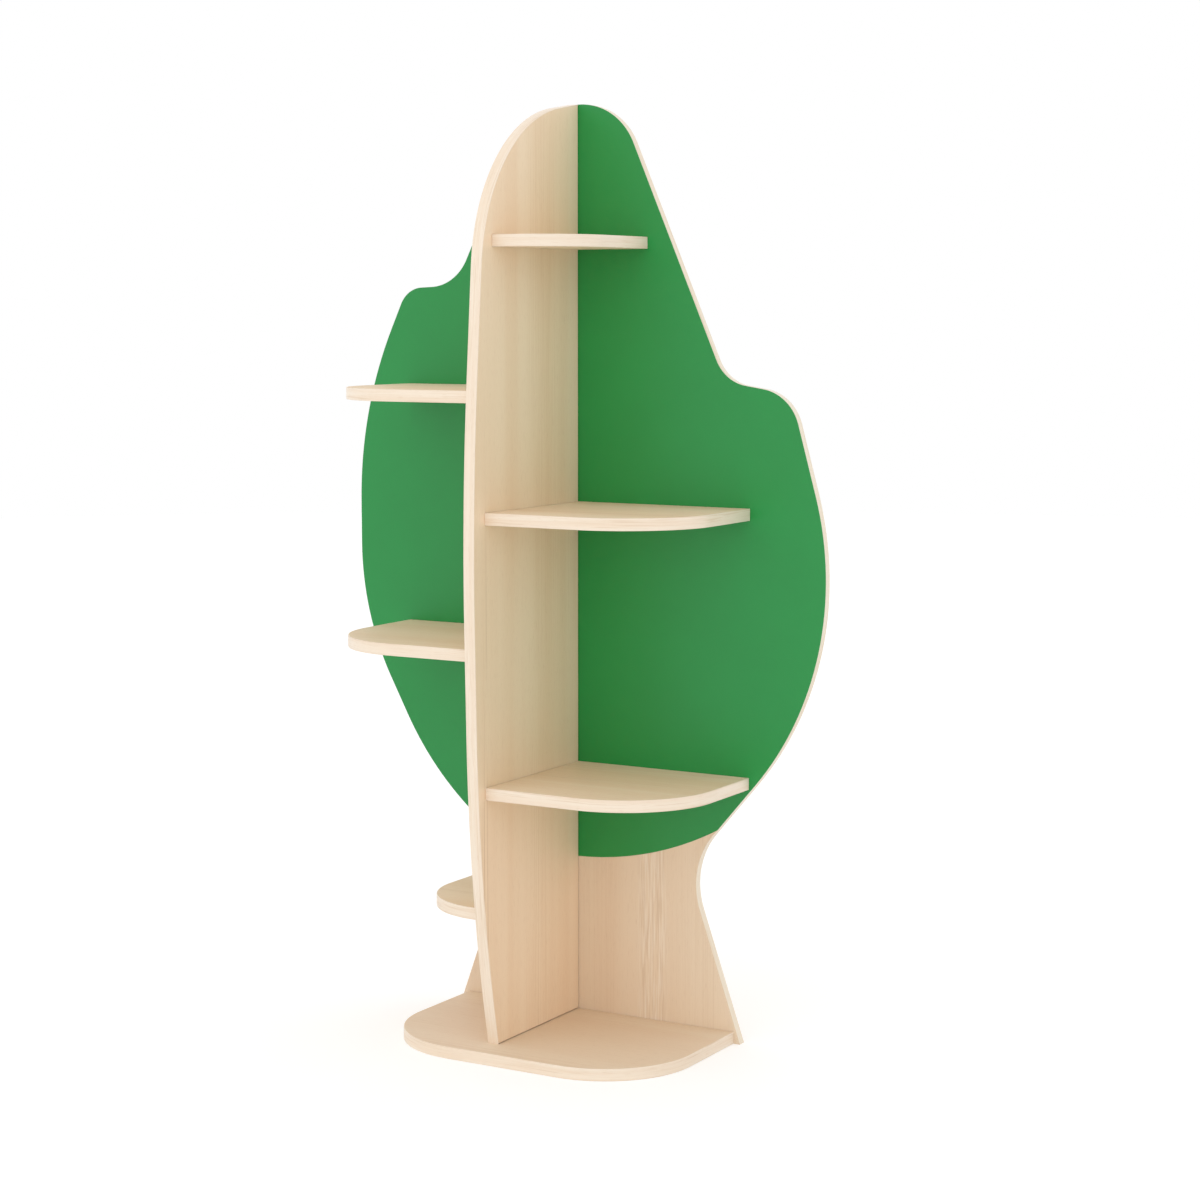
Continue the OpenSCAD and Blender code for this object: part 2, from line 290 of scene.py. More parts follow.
@dataclass(frozen=True)
class WoodDecor:
    """Melamine-faced board, laminate or edge band: a light maple print under a clear satin resin.

    The print gives soft tone bands, fine fibres that come and go in patches, a few clusters of thin
    streaks and short pores. The resin gives an even sheen with no sharp reflection. Raw beech has the
    same layers in its own colours. One upright strip of a board may hold more lines, dark and pale.
    """

    name: str
    run: Run
    wood: str = "#F6DEC0"
    tone: str = "#EDCDAA"
    fibre: str = "#DDBA92"
    streak: str = "#C9A27A"
    gleam: str = "#FFF0DC"
    roughness: float = 0.40
    fibre_roughness: float = 0.09
    lustre: float = 1.5
    seed: float = 0.0
    zone_mm: tuple[float, float] | None = None  # The strip's middle and half width
    zone_full: float = 0.45  # The share of the half width where its lines are full
    zone_lines: GrainLayer = GrainLayer(1.4, 50, 0.46, 0.60, 1.0, 0.5)
    zone_inks: tuple[float, float] = (0.24, 0.52)  # How strong its dark and pale lines are
    # Real fibres are about 0.6 mm wide, and are drawn coarser here, so that they show from across a room.
    bands: GrainLayer = GrainLayer(52, 1700, 0.34, 0.68, 0.60, 2.0)
    fibres: GrainLayer = GrainLayer(2.1, 240, 0.38, 0.72, 0.34, 3.0)
    patches: GrainLayer = GrainLayer(85, 900, 0.36, 0.66, 0.85, 1.0)
    streaks: GrainLayer = GrainLayer(2.7, 900, 0.50, 0.66, 0.55, 1.5)
    clusters: GrainLayer = GrainLayer(46, 2600, 0.58, 0.70, 1.0, 0.0)
    pores: GrainLayer = GrainLayer(0.7, 14, 0.60, 0.72, 0.22, 1.0)
    grain_roughness: float = 0.55
    waver_mm: float = 5.0
    waver_length_mm: float = 322.58
    relief: float = 0.25
    relief_mm: float = 0.06

    def material(self) -> Material:
        """Build the finish as a material.

        Returns:
            The new material.
        """
        material, tree, shader = new_material(self.name)
        place = self.wavering(tree)
        layers = {
            offset: self.layer(tree, place, layer, offset) for offset, layer in (
                (Offset.BANDS, self.bands), (Offset.FIBRES, self.fibres), (Offset.PATCHES, self.patches),
                (Offset.STREAKS, self.streaks), (Offset.CLUSTERS, self.clusters), (Offset.PORES, self.pores))
        }
        fibres = combine(tree, "MULTIPLY", layers[Offset.FIBRES], layers[Offset.PATCHES])
        streaks = combine(tree, "MULTIPLY", layers[Offset.STREAKS], layers[Offset.CLUSTERS])
        colour = mix_colours(tree, self.wood, self.tone, layers[Offset.BANDS])
        colour = mix_colours(tree, self.wood, self.fibre, fibres, colour)
        colour = mix_colours(tree, self.wood, self.streak, streaks, colour)
        colour = mix_colours(tree, self.wood, self.streak, layers[Offset.PORES], colour)
        if self.zone_mm:
            colour = self.streaked_zone(tree, place, colour)
        tree.links.new(colour, shader.inputs["Base Color"])
        matt = self.roughness + self.fibre_roughness
        vary_roughness(tree, shader, fibres, self.roughness, matt, full=self.fibres.strength)
        press_relief(tree, shader, fibres, self.relief, self.relief_mm)
        shader.inputs["IOR"].default_value = self.lustre
        return material

    def wavering(self, tree: NodeTree) -> NodeSocket:
        """Give the place on the board, shifted a little so that no line runs dead straight.

        Args:
            tree: The material's node tree.

        Returns:
            The socket that holds the place.
        """
        place = place_on_object(tree)
        slow = add_noise(tree, place, self.waver_length_mm, detail=1.0)
        shift = add_node(
            tree, "ShaderNodeVectorMath", settings={"operation": "MULTIPLY_ADD"},
            values={1: (self.waver_mm * MM,) * 3}, links={0: slow.outputs["Color"], 2: place})
        return shift.outputs["Vector"]

    def layer(self, tree: NodeTree, place: NodeSocket, layer: GrainLayer, offset: Offset) -> NodeSocket:
        """Add one grain layer.

        Args:
            tree: The material's node tree.
            place: The place on the board.
            layer: The layer's sizes.
            offset: What keeps this layer apart from the others.

        Returns:
            The socket that holds the layer, from 0 to its strength.
        """
        lengths_mm = [layer.along_mm if along else layer.across_mm for along in self.run.value]
        scale = [MM_A_METRE / length_mm for length_mm in lengths_mm]
        mapping = add_node(
            tree, "ShaderNodeMapping", values={"Scale": scale, "Location": offset.place(self.seed)},
            links={"Vector": place})
        noise = add_noise(tree, mapping.outputs["Vector"], MM_A_METRE, layer.detail, self.grain_roughness)
        spread = add_node(
            tree, "ShaderNodeMapRange", settings={"interpolation_type": "SMOOTHSTEP"},
            values={"From Min": layer.low, "From Max": layer.high, "To Min": 0.0, "To Max": layer.strength},
            links={"Value": noise.outputs["Fac"]})
        return spread.outputs["Result"]

    def streaked_zone(self, tree: NodeTree, place: NodeSocket, colour: NodeSocket) -> NodeSocket:
        """Print dark and pale lines over an upright strip, fading out at its sides.

        Args:
            tree: The material's node tree.
            place: The place on the board.
            colour: The colour below the lines.

        Returns:
            The socket that holds the colour with its lines.
        """
        middle, half = (value * MM for value in self.zone_mm)
        across = add_node(tree, "ShaderNodeSeparateXYZ", links={"Vector": place})
        off = add_node(
            tree, "ShaderNodeMath", settings={"operation": "SUBTRACT"}, values={1: middle},
            links={0: across.outputs["X"]})
        far = add_node(
            tree, "ShaderNodeMath", settings={"operation": "ABSOLUTE"}, links={0: off.outputs[0]})
        strip = add_node(
            tree, "ShaderNodeMapRange", settings={"interpolation_type": "SMOOTHSTEP"},
            values={"From Min": half, "From Max": self.zone_full * half, "To Min": 0.0, "To Max": 1.0},
            links={"Value": far.outputs[0]})
        inks = ((self.streak, Offset.DARK_LINES), (self.gleam, Offset.PALE_LINES))
        for (ink, offset), strength in zip(inks, self.zone_inks):
            lines = self.layer(tree, place, replace(self.zone_lines, strength=strength), offset)
            amount = combine(tree, "MULTIPLY", lines, strip.outputs["Result"])
            colour = mix_colours(tree, self.wood, ink, amount, colour)
        return colour


@dataclass(frozen=True)
class PlainLaminate:
    """High-pressure laminate or moulded plastic in one plain colour, with a fine pearl grain pressed in.

    The grain breaks up the highlight, so the colour looks even and deep from every side.
    """

    name: str
    colour: str
    shade: str
    roughness: float
    pearl_mm: float = 1.1  # About 0.4 mm on the real sheet, which is too fine to show.
    cloud_mm: float = 70.0
    lustre: float = 1.5
    pearl_roughness: float = 0.03
    relief: float = 0.2
    relief_mm: float = 0.05

    def material(self) -> Material:
        """Build the finish as a material.

        Returns:
            The new material.
        """
        material, tree, shader = new_material(self.name)
        place = place_on_object(tree)
        clouds = add_noise(tree, place, self.cloud_mm, detail=3.0).outputs["Fac"]
        pearl = add_noise(tree, place, self.pearl_mm, detail=1.0, roughness=0.4).outputs["Fac"]
        tint = mix_colours(tree, self.colour, self.shade, clouds)
        tree.links.new(tint, shader.inputs["Base Color"])
        low, high = self.roughness - self.pearl_roughness, self.roughness + self.pearl_roughness
        vary_roughness(tree, shader, pearl, low, high)
        press_relief(tree, shader, pearl, self.relief, self.relief_mm)
        shader.inputs["IOR"].default_value = self.lustre
        return material


@dataclass(frozen=True)
class RawChipboard:
    """Sawn edge or drilled bore of chipboard: pressed wood flakes, from straw to brown, dull and rough."""

    name: str = "raw_chipboard"
    straw: str = "#D9BC8C"
    brown: str = "#8F6B42"
    flake_mm: float = 2.4
    roughness: float = 0.85
    relief: float = 0.6
    relief_mm: float = 0.3

    def material(self) -> Material:
        """Build the finish as a material.

        Returns:
            The new material.
        """
        material, tree, shader = new_material(self.name)
        flakes = add_node(
            tree, "ShaderNodeTexVoronoi", links={"Vector": place_on_object(tree)},
            values={"Scale": MM_A_METRE / self.flake_mm, "Randomness": 1.0})
        channels = add_node(tree, "ShaderNodeSeparateColor", links={"Color": flakes.outputs["Color"]})
        tint = mix_colours(tree, self.straw, self.brown, channels.outputs["Red"])
        tree.links.new(tint, shader.inputs["Base Color"])
        press_relief(tree, shader, flakes.outputs["Distance"], self.relief, self.relief_mm)
        shader.inputs["Roughness"].default_value = self.roughness
        return material


@dataclass(frozen=True)
class ZincPlatedSteel:
    """Screw steel with a bright zinc plating: a grey metal with light stains that dull it in places."""

    name: str = "zinc_plated_steel"
    light: str = "#C9CBCD"
    dull: str = "#9FA2A6"
    stain_mm: float = 4.0
    bright_roughness: float = 0.22
    dull_roughness: float = 0.40

    def material(self) -> Material:
        """Build the finish as a material.

        Returns:
            The new material.
        """
        material, tree, shader = new_material(self.name)
        stains = add_noise(tree, place_on_object(tree), self.stain_mm, detail=4.0).outputs["Fac"]
        tint = mix_colours(tree, self.light, self.dull, stains)
        tree.links.new(tint, shader.inputs["Base Color"])
        vary_roughness(tree, shader, stains, self.bright_roughness, self.dull_roughness)
        shader.inputs["Metallic"].default_value = 1.0
        return material


# Shapes: shared helpers


def merged_copy(node: str) -> BMesh:
    """Copy a node's mesh with its loose triangles merged and its flat faces whole.

    Args:
        node: The node's name.

    Returns:
        A new mesh in the same place.
    """
    shape = bmesh.new()
    shape.from_mesh(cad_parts[node].data)
    bmesh.ops.remove_doubles(shape, verts=shape.verts, dist=MERGE_REACH)
    bmesh.ops.dissolve_limit(
        shape, angle_limit=math.radians(FLAT_DEGREES), verts=shape.verts, edges=shape.edges,
        use_dissolve_boundaries=False)
    shape.normal_update()
    return shape


def points_of(node: str) -> KDTree:
    """Collect a node's points for a search by distance.

    Args:
        node: The node's name.

    Returns:
        The points, ready to be searched.
    """
    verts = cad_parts[node].data.vertices
    points = KDTree(len(verts))
    for place, vert in enumerate(verts):
        points.insert(vert.co, place)
    points.balance()
    return points


def among(points: KDTree, vert: BMVert) -> bool:
    """Tell whether a point is one of the collected points."""
    return points.find(vert.co)[2] < SAME_POINT


def on_plane(verts: Iterable[BMVert], axis: int, plane: float) -> bool:
    """Tell whether all of some points lie on a plane across an axis.

    Args:
        verts: The points.
        axis: The axis across the plane: X, Y or Z.
        plane: Where the plane is on that axis.

    Returns:
        True if they all do.
    """
    return all(abs(vert.co[axis] - plane) < SAME_PLANE for vert in verts)


def sharp_edges(shape: BMesh, least_degrees: float = ARRIS_DEGREES) -> list[BMEdge]:
    """List the edges where two faces meet at more than an angle."""
    least = math.radians(least_degrees)
    return [e for e in shape.edges if len(e.link_faces) == 2 and e.calc_face_angle(0.0) > least]


def soften(shape: BMesh, edges: list[BMEdge], radius: float, segments: int = 4) -> None:
    """Round some arrises.

    Args:
        shape: The mesh.
        edges: The arrises.
        radius: The rounding's radius.
        segments: How many faces make the rounding.
    """
    bmesh.ops.bevel(
        shape, geom=edges, offset=radius, offset_type="OFFSET", segments=segments, profile=0.5,
        affect="EDGES", material=-1, clamp_overlap=True, loop_slide=True, miter_outer="SHARP")


def raw_but_faces(shape: BMesh, node: str, axis: int) -> None:
    """Give the raw finish to every face that isn't on one of the board's two large sides.

    Args:
        shape: The board's mesh.
        node: The node that it was copied from.
        axis: The board's thickness axis: X, Y or Z.
    """
    planes = [corner[axis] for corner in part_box(node)]
    for face in shape.faces:
        on_side = any(on_plane(face.verts, axis, plane) for plane in planes)
        face.material_index = FACE if on_side else RAW


def open_joint(
    shape: BMesh, node: str, thick: int, joint: tuple[int, int], gap: float, depth: float = 3.0 * MM,
) -> None:
    """Leave a narrow shadow gap along a butt joint, where the edge slopes back to the board's two faces.

    Args:
        shape: The board's mesh.
        node: The node that it was copied from.
        thick: The board's thickness axis: X, Y or Z.
        joint: The axis across the joint, and the end of the board that it is at: LOW or HIGH.
        gap: How far the arrises stand back.
        depth: How deep the gap reaches into the joint.
    """
    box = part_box(node)
    axis, end = joint
    plane = box[end][axis]
    across = Vector()
    across[thick] = 1.0
    for place in (box[LOW][thick] + depth, box[HIGH][thick] - depth):
        faces = [f for f in shape.faces if on_plane(f.verts, axis, plane)]
        edges = {e for f in faces for e in f.edges}
        verts = {v for f in faces for v in f.verts}
        bmesh.ops.bisect_plane(
            shape, geom=[*faces, *edges, *verts], dist=CUT_REACH, plane_co=across * place, plane_no=across)
    for vert in shape.verts:
        at_face = any(on_plane([vert], thick, corner[thick]) for corner in box)
        if at_face and on_plane([vert], axis, plane):
            vert.co[axis] += gap if end == LOW else -gap


def loose_parts(shape: BMesh) -> list[list[BMVert]]:
    """List the mesh's separate parts.

    Args:
        shape: The mesh.

    Returns:
        The points of each part.
    """
    parts, seen = [], set()
    for start in shape.verts:
        if start in seen:
            continue
        seen.add(start)
        part, waiting = [], [start]
        while waiting:
            vert = waiting.pop()
            part.append(vert)
            for edge in vert.link_edges:
                other = edge.other_vert(vert)
                if other not in seen:
                    seen.add(other)
                    waiting.append(other)
        parts.append(part)
    return parts


def stations(node: str, axis: Vector) -> list[Matrix]:
    """Find where a node's like fasteners stand.

    Args:
        node: The node's name.
        axis: The direction from a fastener's head to its tip.

    Returns:
        For each fastener, the matrix that takes +Z to its axis and the origin to its head's middle.
    """
    shape = merged_copy(node)
    turn = Vector((0.0, 0.0, 1.0)).rotation_difference(axis).to_matrix().to_4x4()
    places = []
    for part in loose_parts(shape):
        low = Vector([min(v.co[i] for v in part) for i in (X, Y, Z)])
        high = Vector([max(v.co[i] for v in part) for i in (X, Y, Z)])
        head = (low + high) / 2 - axis * abs((high - low).dot(axis)) / 2
        places.append(Matrix.Translation(head) @ turn)
    shape.free()
    return places


def turn_profile(shape: BMesh, profile_mm: Sequence[tuple[float, float]], steps: int) -> None:
    """Turn a profile round the Z axis.

    Args:
        shape: The mesh that gets the form.
        profile_mm: Radii and heights in millimetres, from one end of the axis to the other.
        steps: How many steps make the turn.
    """
    points = [shape.verts.new((radius * MM, 0.0, height * MM)) for radius, height in profile_mm]
    edges = [shape.edges.new(pair) for pair in zip(points, points[1:])]
    bmesh.ops.spin(
        shape, geom=points + edges, cent=(0, 0, 0), axis=(0, 0, 1), angle=2 * math.pi, steps=steps,
        use_merge=True)
    bmesh.ops.remove_doubles(shape, verts=shape.verts, dist=MERGE_REACH)


def plant(shape: BMesh, form: BMesh, places: list[Matrix]) -> None:
    """Set a copy of a form at each place, and free the form.

    Args:
        shape: The mesh that gets the copies.
        form: The form, built along +Z from the origin.
        places: Where the copies stand.
    """
    pattern = bpy.data.meshes.new("pattern")
    form.to_mesh(pattern)
    form.free()
    for place in places:
        copy = pattern.copy()
        copy.transform(place)
        shape.from_mesh(copy)
        bpy.data.meshes.remove(copy)
    bpy.data.meshes.remove(pattern)


def add_object(name: str, data: ID) -> Object:
    """Put a new object in the scene.

    Args:
        name: The object's name.
        data: Its mesh or camera.

    Returns:
        The object.
    """
    made = bpy.data.objects.new(name, data)
    bpy.context.scene.collection.objects.link(made)
    return made


def add_piece(name: str, shape: BMesh, materials: list[Material], slot: str, *nodes: str) -> Object:
    """Make a finished piece that stands for some nodes.

    Args:
        name: The piece's name.
        shape: The piece's mesh in its place, which is freed here.
        materials: The piece's materials, in the order of its faces' material numbers.
        slot: The name of a material slot; not used.
        nodes: The nodes that the piece replaces.

    Returns:
        The new object.
    """
    for face in shape.faces:
        face.smooth = True
    for edge in sharp_edges(shape, CREASE_DEGREES):
        edge.smooth = False
    mesh = bpy.data.meshes.new(name)
    shape.to_mesh(mesh)
    shape.free()
    for material in materials:
        mesh.materials.append(material)
    piece = add_object(name, mesh)
    weighted = piece.modifiers.new("even_normals", "WEIGHTED_NORMAL")
    weighted.mode = "FACE_AREA"
    weighted.weight = 50
    weighted.keep_sharp = True
    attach(piece, "root")
    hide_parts(*nodes)
    LOG.info("%s: %d faces", name, len(mesh.polygons))
    return piece


# Materials: the object's own


@dataclass
class Finishes:
    """The materials that the pieces share."""

    upright_board: Material
    back_board: Material
    level_board: Material
    base_board: Material
    trunk: Material
    crown: Material
    level_band: Material
    fin_band: Material
    panel_band: Material
    raw: Material
    steel: Material
    cap: Material
    beech: Material

    @classmethod
    def build(cls) -> "Finishes":
        """Build every material once.

        Returns:
            The set of materials.
        """
        band = {
            "wood": "#F4E4D0", "tone": "#EED8BF", "fibre": "#E2C8A8", "streak": "#D2B28C", "roughness": 0.34,
            "bands": GrainLayer(7.0, 190, 0.36, 0.66, 0.55, 1.0),
            "fibres": GrainLayer(1.8, 90, 0.42, 0.72, 0.36, 2.0),
            "patches": GrainLayer(12, 120, 0.36, 0.62, 1.0, 1.0),
            "streaks": GrainLayer(1.6, 75, 0.54, 0.66, 0.34, 1.0),
            "clusters": GrainLayer(7, 210, 0.50, 0.62, 1.0, 0.0),
            "waver_mm": 1.2,
        }
        matt = {"roughness": 0.56, "lustre": 1.4}
        pinker = {
            "wood": "#EAD6BC", "tone": "#E3C7AA", "fibre": "#D2B38E", "streak": "#BF9C77", "gleam": "#F6EADA",
        }
        return cls(
            # Melamine-faced chipboard: an even maple print with a soft sheen.
            upright_board=WoodDecor("melamine_board_maple_decor_upright", Run.UPRIGHT).material(),
            back_board=WoodDecor(
                "melamine_board_maple_decor_back", Run.UPRIGHT, seed=1.3,
                streaks=GrainLayer(2.7, 700, 0.52, 0.68, 0.30, 1.5),
            ).material(),
            # The same board laid level: more matt, so that it keeps its colour at a low angle. Its print is a
            # touch lighter than the upright board's, as painted light on the shelf tops.
            level_board=WoodDecor(
                "melamine_board_maple_decor_level_painted_light", Run.SIDEWAYS, seed=4.2, **matt,
                wood="#F7DFC3", tone="#EECEAB",
                fibres=GrainLayer(2.4, 210, 0.40, 0.74, 0.26, 3.0),
                streaks=GrainLayer(3.2, 700, 0.52, 0.68, 0.36, 1.5),
            ).material(),
            # The base is the same board in a darker, pinker print, as painted shade on the base plate.
            base_board=WoodDecor(
                "melamine_board_maple_decor_base_painted_shade", Run.SIDEWAYS, seed=2.6, **matt, **pinker,
                bands=GrainLayer(70, 1700, 0.34, 0.68, 0.40, 1.0),
                fibres=GrainLayer(2.6, 240, 0.40, 0.74, 0.15, 2.0),
                streaks=GrainLayer(3.4, 800, 0.52, 0.68, 0.16, 1.0),
            ).material(),
            # Wood-decor laminate: a slightly pinker sheet with one strip of fine light and dark lines.
            trunk=WoodDecor(
                "laminate_maple_decor_trunk", Run.UPRIGHT, seed=7.9, **pinker,
                zone_mm=(111, 27), zone_inks=(0.25, 0.50), waver_mm=1.5,
                bands=GrainLayer(52, 1700, 0.34, 0.68, 0.34, 2.0),
                fibres=GrainLayer(2.1, 240, 0.38, 0.72, 0.20, 3.0),
                clusters=GrainLayer(46, 2600, 0.58, 0.70, 0.25, 0.0),
                pores=GrainLayer(0.7, 14, 0.60, 0.72, 0.16, 1.0),
            ).material(),
            # Leaf-green high-pressure laminate: deep, even and barely glossy.
            crown=PlainLaminate(
                "laminate_leaf_green", "#0F9140", "#0D8B3C", roughness=0.36, lustre=1.54,
            ).material(),
            # Plastic edge band with a maple print: paler than the boards, smoother, in short fine streaks.
            level_band=WoodDecor("edge_band_maple_decor_level", Run.ROUND_LEVEL_BOARD, **band).material(),
            fin_band=WoodDecor("edge_band_maple_decor_fin", Run.ROUND_FIN, **band).material(),
            panel_band=WoodDecor(
                "edge_band_maple_decor_panel", Run.ROUND_PANEL,
                **{**band, "wood": "#F1E5D0", "tone": "#ECDAC1"},
            ).material(),
            # Hidden parts: sawn chipboard, zinc-plated screws, moulded caps and beech dowels.
            raw=RawChipboard().material(),
            steel=ZincPlatedSteel().material(),
            cap=PlainLaminate(
                "cap_plastic_maple_tone", "#E2CBAE", "#DDC5A7", roughness=0.42, pearl_mm=0.8, cloud_mm=20.0,
            ).material(),
            beech=WoodDecor(
                "raw_beech", Run.SIDEWAYS, wood="#D9B78A", tone="#CDA676", fibre="#B88C5C",
                streak="#9A7047", roughness=0.6,
            ).material(),
        )


# Sub-assemblies


@dataclass
class Board:
    """A faced board with an edge band on its free edges: a shelf, the base plate or the fin.

    Its joints are the edges that butt against another board, each as the axis across the joint and the
    end of the board that it is at.
    """

    name: str
    thick: int
    joints: list[tuple[int, int]]
    gap: float
    arris: float = 0.8 * MM

    def build(self, face: Material, band: Material, raw: Material) -> None:
        """Build the board and its band.

        Args:
            face: The finish of the board's two faces.
            band: The edge band's finish.
            raw: The finish of sawn edges and bores.
        """
        strip = self.name + "_edge_band"
        add_piece(self.name + "_board", self.core(), [face, raw, band], "wood_board", self.name)
        add_piece(self.name + "_band", self.strip(strip), [band], "edge_band", strip)

    def core(self) -> BMesh:
        """Shape the board inside its band: decor on its faces, band on its back edge, else raw.

        Returns:
            The board's mesh.
        """
        shape = merged_copy(self.name)
        raw_but_faces(shape, self.name, self.thick)
        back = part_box(self.name)[HIGH].y
        for face in shape.faces:
            if on_plane(face.verts, Y, back):
                face.material_index = BACK_EDGE
        for joint in self.joints:
            open_joint(shape, self.name, self.thick, joint, self.gap)
        return shape

    def strip(self, node: str) -> BMesh:
        """Shape the edge band, rounded on its outer arrises.

        Args:
            node: The band's node.

        Returns:
            The band's mesh.
        """
        shape = merged_copy(node)
        core = points_of(self.name)
        outer = [e for e in sharp_edges(shape) if not any(among(core, v) for v in e.verts)]
        soften(shape, outer, self.arris)
        return shape


@dataclass
class TreePanel:
    """The back panel: a board cut as a tree, a green crown and a wooden trunk on its front, and its band."""

    front_arris: float = 0.5 * MM
    back_arris: float = 0.8 * MM

    def build(self, finishes: Finishes) -> None:
        """Build the panel's four pieces.

        Args:
            finishes: The shared materials.
        """
        board = merged_copy("back_panel")
        raw_but_faces(board, "back_panel", Y)
        add_piece("back_panel_board", board, [finishes.back_board, finishes.raw], "wood_board", "back_panel")
        band = self.strip()
        add_piece("back_panel_band", band, [finishes.panel_band], "edge_band", "back_panel_edge_band")
        self.facing("crown_facing", "crown_laminate", finishes.crown, "green_laminate")
        self.facing("trunk_facing", "trunk_laminate", finishes.trunk, "wood_laminate")

    def strip(self) -> BMesh:
        """Shape the edge band, rounded on its outer arris at the back.

        Returns:
            The band's mesh.
        """
        shape = merged_copy("back_panel_edge_band")
        core = points_of("back_panel")
        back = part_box("back_panel")[HIGH].y
        outer = [
            e for e in sharp_edges(shape)
            if on_plane(e.verts, Y, back) and not any(among(core, v) for v in e.verts)
        ]
        soften(shape, outer, self.back_arris)
        return shape

    def facing(self, node: str, name: str, material: Material, slot: str) -> None:
        """Build one facing, eased along the front arrises of its outline but not along the seam.

        Args:
            node: The facing's node.
            name: The piece's name.
            material: The facing's finish.
            slot: The record's material slot.
        """
        shape = merged_copy(node)
        band = points_of("back_panel_edge_band")
        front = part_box(node)[LOW].y
        outer = [
            e for e in sharp_edges(shape)
            if on_plane(e.verts, Y, front) and all(among(band, v) for v in e.verts)
        ]
        soften(shape, outer, self.front_arris, segments=3)
        add_piece(name, shape, [material], slot, node)


@dataclass
class Screws:
    """Steel furniture screws: a hexagon socket in a countersunk head, a plain shank and a wound thread.

    The thread's ridge grows from a least share of its height over one turn at each end.
    """

    node: str
    axis: Vector
    arris: float = 0.12 * MM
    root: float = 2.42 * MM
    crest: float = 3.30 * MM
    foot: float = 1.24 * MM
    ridge: float = 0.20 * MM
    pitch: float = 3.0 * MM
    start: float = 15.0 * MM
    end: float = 48.5 * MM
    least_share: float = 0.1
    steps_a_turn: int = 20

    def build(self, finishes: Finishes) -> None:
        """Build one group of screws.

        Args:
            finishes: The shared materials.
        """
        shape = merged_copy(self.node)
        soften(shape, sharp_edges(shape), self.arris, segments=3)
        plant(shape, self.thread(), stations(self.node, self.axis))
        add_piece(self.node + "_threaded", shape, [finishes.steel], "screw_steel", self.node)

    def thread(self) -> BMesh:
        """Wind one thread round +Z. Its ridge runs out at both ends.

        Returns:
            The thread's mesh, with the screw's head at the origin.
        """
        shape = bmesh.new()
        section = [
            (self.root, -self.foot / 2), (self.crest, -self.ridge / 2),
            (self.crest, self.ridge / 2), (self.root, self.foot / 2),
        ]
        points = [shape.verts.new((radius, 0.0, self.start + rise)) for radius, rise in section]
        edges = [shape.edges.new((points[i - 1], points[i])) for i in range(len(points))]
        steps = round((self.end - self.start) / self.pitch * self.steps_a_turn)
        bmesh.ops.spin(
            shape, geom=points + edges, cent=(0, 0, 0), axis=(0, 0, 1), steps=steps,
            angle=2 * math.pi * steps / self.steps_a_turn, dvec=(0, 0, self.pitch / self.steps_a_turn))
        bmesh.ops.holes_fill(shape, edges=[e for e in shape.edges if e.is_boundary], sides=len(section))
        for vert in shape.verts:
            reach = vert.co.xy.length
            if reach > self.root + self.ridge:
                run = min(vert.co.z - self.start, self.end - vert.co.z) / self.pitch
                grown = min(1.0, max(self.least_share, run))
                vert.co.xy *= (self.root + (self.crest - self.root) * grown) / reach
        bmesh.ops.recalc_face_normals(shape, faces=shape.faces)
        return shape


@dataclass
class Dowels:
    """Beech dowels with straight flutes for the glue and chamfered ends."""

    node: str = "shelf_dowels"
    radius: float = 4.0 * MM
    flute: float = 0.28 * MM
    flutes: int = 18
    corners_a_flute: int = 4
    length: float = 30.0 * MM
    chamfer: float = 1.0 * MM

    def build(self, finishes: Finishes) -> None:
        """Build all the dowels.

        Args:
            finishes: The shared materials.
        """
        shape = bmesh.new()
        plant(shape, self.dowel(), stations(self.node, Vector((1.0, 0.0, 0.0))))
        add_piece(self.node + "_fluted", shape, [finishes.beech], "dowel_beech", self.node)

    def dowel(self) -> BMesh:
        """Shape one dowel along +Z: a rod with sunk flutes, drawn in at both ends.

        Returns:
            The dowel's mesh, with its near end at the origin.
        """
        shape = bmesh.new()
        corners = self.corners_a_flute * self.flutes
        bmesh.ops.create_cone(
            shape, cap_ends=True, segments=corners, radius1=self.radius, radius2=self.radius,
            depth=self.length, matrix=Matrix.Translation((0.0, 0.0, self.length / 2)))
        for height in (self.chamfer, self.length - self.chamfer):
            geom = shape.verts[:] + shape.edges[:] + shape.faces[:]
            bmesh.ops.bisect_plane(
                shape, geom=geom, dist=CUT_REACH, plane_co=(0, 0, height), plane_no=(0, 0, 1))
        raised = self.corners_a_flute // 2
        sunk = [v for v in shape.verts if self.corner(v, corners) % self.corners_a_flute >= raised]
        ends = [
            v for v in shape.verts
            if abs(v.co.z - self.length / 2) > self.length / 2 - self.chamfer / 2
        ]
        for verts, inset in ((sunk, self.flute), (ends, self.chamfer)):
            drawn_in = 1 - inset / self.radius
            bmesh.ops.scale(shape, verts=verts, vec=(drawn_in, drawn_in, 1.0))
        return shape

    @staticmethod
    def corner(vert: BMVert, corners: int) -> int:
        """Count the corners from +X to a point on the rod."""
        return round(corners * math.atan2(vert.co.y, vert.co.x) / (2 * math.pi))


